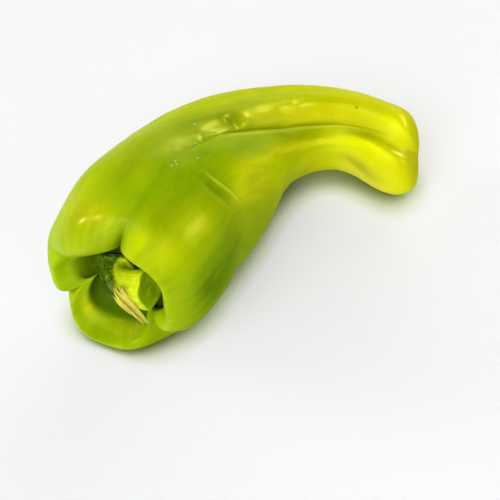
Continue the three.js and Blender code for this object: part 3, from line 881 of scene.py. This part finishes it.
stem_angles = np.arange(STEM_COLUMNS) * 2 * math.pi / STEM_COLUMNS
root_frame = frame_at(np.array([float(RECESS_DEPTH)]))
root_place, root_along, root_inner, root_up = [part[0] for part in root_frame]
root_place = root_place + root_inner * (RECESS_SHIFT[0] + FLOOR_SHIFT[0])
root_place = root_place + root_up * (RECESS_SHIFT[1] + FLOOR_SHIFT[1])
root_axes = np.array([-root_along, root_inner, root_up])


def stalk_place(u):
    weights = np.array([(1 - u) ** 3, 3 * (1 - u) ** 2 * u, 3 * (1 - u) * u ** 2, u ** 3])
    return weights @ STALK_PATH @ root_axes


def stem_ring(row, in_calyx):
    """One ring of the stem, either flat round the recess floor or square to the stalk's bend."""
    where, radius, ripple = row
    centre, sideways, upwards = root_place, root_inner, root_up
    if not in_calyx:
        centre = root_place + stalk_place(where)
        heading = unit(stalk_place(where + 0.01) - stalk_place(where - 0.01))
        upwards = unit(root_up - heading * (root_up @ heading))
        sideways = np.cross(upwards, heading)
    wave = 1 + ripple * (0.1 * np.cos(5 * stem_angles + 0.6) + 0.05 * np.cos(9 * stem_angles + 2))
    ridge = 1 if in_calyx else 1 + RIDGE_HEIGHT * np.cos(STALK_RIDGES * (stem_angles - RIDGE_TURN))
    reach = radius * wave * ridge
    ring = centre + np.outer(reach * np.cos(stem_angles), sideways)
    ring = ring + np.outer(reach * np.sin(stem_angles), upwards)
    if in_calyx:
        ring = ring + np.outer(where + ripple * 0.35 * (1 + np.sin(7 * stem_angles)), -root_along)
    return ring


stem_rings = [stem_ring(row, True) for row in CALYX] + [stem_ring(row, False) for row in STALK]
stem_rings = np.array(stem_rings)
ring_count = len(stem_rings)
stem_track = spline(np.hstack([np.arange(ring_count)[:, None], stem_rings.reshape(ring_count, -1)]))
stem_rows = np.linspace(0, ring_count - 1, (ring_count - 1) * STEM_STEPS + 1)
stem_places = stem_track(stem_rows).reshape(len(stem_rows), STEM_COLUMNS, 3)
stem_places[0] = stem_rings[0]
stem_places[-1] = stem_rings[-1]

# Folds of the calyx and fine ribs of the stalk, along the surface's own direction.
stem_row = np.broadcast_to(stem_rows[:, None], stem_places.shape[:2])
stem_turn = np.broadcast_to(stem_angles, stem_places.shape[:2])
down = np.gradient(stem_places, axis=0)
across = np.roll(stem_places, -1, axis=1) - np.roll(stem_places, 1, axis=1)
facing = np.cross(across, down)
facing /= np.linalg.norm(facing, axis=-1, keepdims=True) + 1e-9
stem_degrees = np.degrees(stem_turn)
calyx_end = np.full_like(stem_degrees, CALYX_END)
for centre, half_angle, change in CALYX_REACH:
    calyx_end += change * hill(turn(stem_degrees, centre) / half_angle)
calyx_share = ramp(stem_row, 2, 3.5) * (1 - ramp(stem_row - calyx_end, -0.8, 0.8))
stalk_share = window(stem_row, len(CALYX), len(CALYX) + 1, CUT_FACE - 1.3, CUT_FACE - 0.7)
crumple = np.array([
    noise.noise(Vector(place) / 1.6) + 0.6 * noise.noise(Vector(place) / 0.7)
    for place in stem_places.reshape(-1, 3)
]).reshape(stem_row.shape)
stem_relief = CRUMPLE * calyx_share * (crumple - 0.4)
stem_relief += FINE_RIBS * stalk_share * np.cos(FINE_RIB_COUNT * stem_turn + crumple)
stem_places = stem_places - facing * stem_relief[..., None]

cut = ramp(stem_row, CUT_FACE - 0.6, CUT_FACE + 0.2)
# The blunt knife left wavy steps across the lower inner side of the cut face: ring and half width.
CUT_STEPS = [[1.25, 0.1], [1.6, 0.12], [2.1, 0.1]]
CUT_STEPS_ANGLE = 300
CUT_STEPS_HALF_ANGLE = 60
STEM_GRAIN_LENGTH = 90
cut_wave = stem_row - CUT_FACE - 0.12 * np.sin(5 * stem_turn)
cut_lines = sum(hill((cut_wave - step) / half_width) for step, half_width in CUT_STEPS)
cut_lines *= hill(turn(stem_degrees, CUT_STEPS_ANGLE) / CUT_STEPS_HALF_ANGLE)
stem_grain = np.stack([np.cos(stem_turn), np.sin(stem_turn), stem_row / STEM_GRAIN_LENGTH], axis=-1)
stem = closed_mesh("stem_with_calyx", (stem_places + drawing_origin)[::-1], {
    "calyx": calyx_share[::-1], "cut": cut[::-1], "cut_lines": cut_lines[::-1],
    "stem_grain": stem_grain[::-1],
})

STEM_YELLOW = colour(204, 218, 40)
STEM_LIGHT = colour(184, 203, 8)
STEM_MID = colour(146, 174, 4)
SCAR_BROWN = colour(120, 116, 30)
CALYX_DARK = colour(50, 78, 4)
CALYX_MID = colour(88, 118, 6)
CALYX_SPECK = colour(150, 172, 60)
CUT_DARK = colour(144, 174, 4)
CUT_GREEN = colour(164, 192, 6)
CUT_PALE = colour(188, 206, 30)
CUT_LINE = colour(96, 126, 6)
# Lengths in metres of the lines along the stalk and of its mottling.
STEM_LINE_SIZE = 0.12
STEM_CLOUD_SIZE = 0.0022

stalk = Finish(
    bpy.data.materials.new("green_stalk"), IOR=1.36, Specular_Tint=(1.0, 1.0, 0.5, 1.0),
    Subsurface_Weight=0.15, Subsurface_Scale=0.002, Subsurface_Radius=(0.7, 1.0, 0.2),
)
stem_lines = stalk.cloud(STEM_LINE_SIZE, detail=5, place=stalk.field("stem_grain", "Vector"), rough=0.65)
stem_cloud = stalk.cloud(STEM_CLOUD_SIZE, detail=4, rough=0.6)
stalk_colour = stalk.stops(stem_lines * 0.35 + stem_cloud * 0.65, [
    (0.3, STEM_MID), (0.5, STEM_LIGHT), (0.72, STEM_YELLOW),
])
calyx_colour = stalk.stops(stem_cloud, [(0.4, CALYX_DARK), (0.6, CALYX_MID), (0.74, CALYX_SPECK)])
stalk_colour = stalk.blend(stalk.field("calyx"), stalk_colour, calyx_colour)
cut_colour = stalk.stops(stem_cloud, [(0.3, CUT_DARK), (0.5, CUT_GREEN), (0.8, CUT_PALE)])
cut_colour = stalk.blend(stalk.field("cut_lines") * 0.6, cut_colour, CUT_LINE)
stalk_colour = stalk.blend(stalk.field("cut"), stalk_colour, cut_colour)
# The strip left a brown scar where it tore off.
scar_gap = stalk.gap_from(np.array(STRIP_PATH[1]) + drawing_origin)
scar_share = stalk.level(scar_gap + stem_cloud * SCAR_REACH, SCAR_REACH, SCAR_REACH * 1.6, 1.0, 0.0)
stalk_colour = stalk.blend(scar_share * 0.7, stalk_colour, SCAR_BROWN)
stem_bump = stalk.bump(stem_lines, 0.0004, 0.15)
stem_bump = stalk.bump(stem_cloud, 0.0004, 0.6, stem_bump)
stalk.feed(stalk.shader, {
    "Base Color": stalk_colour,
    "Roughness": 0.5 - stalk.field("cut") * 0.24 - stem_cloud * 0.15,
    "Normal": stem_bump,
})
stem.data.materials.append(stalk.owner)
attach(stem, "root")
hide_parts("stem")


# The torn strip: dry straw-coloured skin of the stalk, ripped loose when the fruit was picked.
# It hangs from the lower outer side of the stalk, with finer slivers beside it, and its free
# end is forked.
STRIP_FACE = unit(np.array([-0.2, -0.75, 0.63]))
STRIP_HALF_WIDTH = 1.5
STRIP_HALF_THICKNESS = 0.4
# Mesh steps along and columns across the strip and each sliver.
STRIP_MESH = [40, 20]
SLIVER_MESH = [14, 4]
# Slivers: sideways offset, start and end as shares of the strip, half width, curl away from it.
SLIVERS = [
    [-1.7, 0.0, 0.55, 0.35, 0.6],
    [-2.3, 0.05, 0.38, 0.28, 0.2],
    [1.5, 0.1, 0.62, 0.3, 0.5],
    [-0.6, 0.3, 0.97, 0.25, 0.7],
    [0.7, 0.2, 0.9, 0.22, 0.9],
]


def leaf(path, half_width, half_thickness, steps, columns, fork):
    """A closed leaf of two sheets that meet along its edge: points, faces and the place across it."""
    points, faces, width_place = [], [], []
    front = np.zeros((steps + 1, columns + 1), int)
    back = np.zeros_like(front)
    for i in range(steps + 1):
        for j in range(columns + 1):
            w = 2 * j / columns - 1
            s = i / steps * (1 - fork(w))
            heading = unit(path(s + 0.01) - path(s - 0.01))
            sideways = unit(np.cross(heading, STRIP_FACE))
            normal = np.cross(sideways, heading)
            width = half_width * (0.35 + 0.65 * ramp(s, 0, 0.3)) * (1 - 0.35 * ramp(s, 0.6, 1))
            place = path(s) + sideways * w * width
            edge = i in (0, steps) or j in (0, columns)
            fibres = 0.3 * math.sin(w * 11 + s * 3) + 0.2 * math.sin(w * 23 - s * 5)
            thick = 0 if edge else half_thickness * (1 - w ** 4) * (1 + fibres)
            front[i, j] = len(points)
            points.append(place + normal * thick)
            width_place.append(w)
            back[i, j] = front[i, j]
            if not edge:
                back[i, j] = len(points)
                points.append(place - normal * half_thickness * (1 - w ** 4) * 0.6)
                width_place.append(w)
    for i in range(steps):
        for j in range(columns):
            lean = (i < steps / 2) == (j < columns / 2)
            for sheet, order in ((front, -1), (back, 1)):
                a, b, c, d = sheet[i, j], sheet[i + 1, j], sheet[i + 1, j + 1], sheet[i, j + 1]
                pair = [[a, b, c], [a, c, d]] if lean else [[a, b, d], [b, c, d]]
                faces += [face[::order] for face in pair]
    return points, faces, width_place


def forked(w):
    ragged = 0.02 * math.sin(9 * w) + 0.015 * math.sin(21 * w)
    return 0.14 * hill((w - 0.1) / 0.3) + 0.08 * ramp(w, 0.2, 1) + abs(ragged)


def pointed(w):
    return 0.25 * w * w


strip_line = spline([[i / (len(STRIP_PATH) - 1), *point] for i, point in enumerate(STRIP_PATH)])
strip_points, strip_faces, strip_across = leaf(
    strip_line, STRIP_HALF_WIDTH, STRIP_HALF_THICKNESS, *STRIP_MESH, forked,
)
for offset, start, end, half_width, curl in SLIVERS:
    def sliver_line(s, offset=offset, start=start, end=end, curl=curl):
        share = start + (end - start) * s
        heading = unit(strip_line(share + 0.01) - strip_line(share - 0.01))
        lift = curl * s * s + 0.25
        return strip_line(share) + unit(np.cross(heading, STRIP_FACE)) * offset + STRIP_FACE * lift
    points, faces, width_place = leaf(sliver_line, half_width, half_width * 0.5, *SLIVER_MESH, pointed)
    strip_faces += [[index + len(strip_points) for index in face] for face in faces]
    strip_points += points
    strip_across += [0.4 + 0.5 * abs(w) for w in width_place]

strip_mesh = bpy.data.meshes.new("torn_strip")
strip_mesh.from_pydata((np.array(strip_points) + drawing_origin) * MM, [], strip_faces)
strip_mesh.shade_smooth()
width_field = strip_mesh.attributes.new("width_place", "FLOAT", "POINT")
width_field.data.foreach_set("value", np.abs(np.array(strip_across)).astype(np.float32))
strip = bpy.data.objects.new("torn_strip", strip_mesh)
bpy.context.scene.collection.objects.link(strip)

STRAW_CREAM = colour(212, 204, 92)
STRAW_GOLD = colour(186, 168, 38)
STRAW_BROWN = colour(126, 108, 20)
FIBRE_SIZE = 0.0011

straw = Finish(bpy.data.materials.new("dry_straw"), Subsurface_Weight=0.1, Subsurface_Scale=0.001)
fibre_cloud = straw.cloud(FIBRE_SIZE, detail=5, rough=0.7)
straw_colour = straw.stops(straw.field("width_place") * 0.7 + fibre_cloud * 0.6, [
    (0.3, STRAW_BROWN), (0.5, STRAW_GOLD), (0.8, STRAW_CREAM),
])
straw.feed(straw.shader, {
    "Base Color": straw_colour,
    "Roughness": 0.5 + fibre_cloud * 0.2,
    "Normal": straw.bump(fibre_cloud, 0.0004, 0.7),
})
strip_mesh.materials.append(straw.owner)
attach(strip, "root")
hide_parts("stem_fibre")


# The surface that it lies on: a wide white matt board, lit by large soft lamps.
BOARD_WIDTH = 6.0
CONTACT_REACH = 0.011
BOARD_GLOW = 0.48
BOARD_OPEN = colour(175, 175, 181)
BOARD_NEAR = colour(172, 175, 166)
BOARD_CONTACT = colour(120, 130, 60)
GLOW_OPEN = colour(246, 246, 255)
GLOW_NEAR = colour(194, 199, 178)
GLOW_CONTACT = colour(16, 22, 2)
board_mesh = bpy.data.meshes.new("white_board")
half = BOARD_WIDTH / 2
board_corners = [(-half, -half, 0), (half, -half, 0), (half, half, 0), (-half, half, 0)]
board_mesh.from_pydata(board_corners, [], [(0, 1, 2, 3)])
board = bpy.data.objects.new("white_board", board_mesh)
bpy.context.scene.collection.objects.link(board)
matt = Finish(bpy.data.materials.new("matt_white"), Roughness=0.6)
# Light that reaches the board from all around is counted as its own glow. Close under the fruit a painted
# contact shadow darkens it, and the painted light that the fruit throws on the board is green.
contact_shade = matt.node("ShaderNodeAmbientOcclusion", {"samples": 8}, {"Distance": CONTACT_REACH}, "AO")
matt.feed(matt.shader, {
    "Base Color": matt.stops(contact_shade, [(0.3, BOARD_CONTACT), (0.6, BOARD_NEAR), (0.9, BOARD_OPEN)]),
    "Emission Color": matt.stops(contact_shade, [(0.3, GLOW_CONTACT), (0.6, GLOW_NEAR), (0.9, GLOW_OPEN)]),
    "Emission Strength": BOARD_GLOW,
})
board_mesh.materials.append(matt.owner)
board.visible_glossy = False

# Lamps: azimuth from behind (+Y) towards +X, elevation, width and height in metres, watts.
# The soft ones give no mirror image of themselves in the skin, and the glints give nothing else.
LAMP_REACH = 2.0
SOFT_TINT = (1, 1, 1)
GLINT_TINT = (1, 1, 0.14)
SOFT_LAMPS = {
    "front": [-158, 42, 1.6, 1.2, 36],
    "behind": [20, 16, 2.4, 0.6, 35],
    "left": [-75, 24, 1.0, 0.6, 12],
    "front_low": [-150, 12, 1.0, 0.4, 9],
    "front_right": [148, 38, 1.2, 0.8, 6],
}
GLINTS = {
    "glint_back": [52, 26, 1.2, 0.4, 42],
    "glint_left": [-84, 25, 0.3, 0.3, 13],
    "glint_left_high": [-100, 47, 0.3, 0.3, 10],
    "glint_right": [95, 25, 0.6, 0.4, 18],
    "glint_front": [160, 22, 0.4, 0.3, 4],
    "glint_top": [170, 66, 0.25, 0.25, 3],
}
for name, (azimuth, elevation, width, height, watts) in {**SOFT_LAMPS, **GLINTS}.items():
    lamp = bpy.data.lights.new(name, "AREA")
    lamp.shape = "ELLIPSE"
    lamp.size = width
    lamp.size_y = height
    lamp.energy = watts
    lamp.color = SOFT_TINT if name in SOFT_LAMPS else GLINT_TINT
    holder = bpy.data.objects.new(name, lamp)
    holder.visible_glossy = name in GLINTS
    holder.visible_diffuse = name in SOFT_LAMPS
    bearing = math.radians(azimuth)
    raised = math.radians(elevation)
    level = math.cos(raised)
    towards = Vector((math.sin(bearing) * level, math.cos(bearing) * level, math.sin(raised)))
    holder.location = towards * LAMP_REACH
    holder.rotation_euler = towards.to_track_quat("Z", "Y").to_euler()
    bpy.context.scene.collection.objects.link(holder)

# The room is pale yellow, and darker on the right, a little to the front.
ROOM_TINT = (1, 1, 0.38, 1)
BOARD_TINT = (1, 1, 0.66, 1)
ROOM_BRIGHT = 0.22
ROOM_DARK = 0.02
BOARD_BRIGHT = 0.7
DARK_SIDE = (0.95, -0.25, 0.17)
room = Finish(bpy.data.worlds.new("soft_room"), "Background")
room_way = room.node("ShaderNodeTexCoord", {}, {}, "Generated")
room_side, room_left, room_below = [
    room.node("ShaderNodeVectorMath", {"operation": "DOT_PRODUCT"}, {0: room_way, 1: side}, "Value")
    for side in (DARK_SIDE, (-1, 0, 0), (0, 0, -1))
]
# The board itself isn't mirrored in the skin. Whiter light from the low left stands in for it.
mirrored = room.level(room_left, -0.1, 0.3) * room.level(room_below, 0.0, 0.3)
room.feed(room.shader, {
    "Color": room.blend(mirrored, ROOM_TINT, BOARD_TINT),
    "Strength": room.level(room_side, -0.2, 0.8, ROOM_BRIGHT, ROOM_DARK) + mirrored * BOARD_BRIGHT,
})
bpy.context.scene.world = room.owner
bpy.context.scene.view_settings.view_transform = "Standard"


# The camera looks along +Y and down at the drawing's origin on the board.
CAMERA_ELEVATION = math.radians(45)
CAMERA_DISTANCE = 0.56
CAMERA_LENS = 112
CAMERA_SENSOR = 36
camera = bpy.data.objects.new("camera", bpy.data.cameras.new("camera"))
camera.data.lens = CAMERA_LENS
camera.data.sensor_width = CAMERA_SENSOR
backwards = Vector((0, -math.cos(CAMERA_ELEVATION), math.sin(CAMERA_ELEVATION)))
camera.location = Vector(drawing_origin * MM) + backwards * CAMERA_DISTANCE
camera.rotation_euler = backwards.to_track_quat("Z", "Y").to_euler()
bpy.context.scene.collection.objects.link(camera)
bpy.context.scene.camera = camera
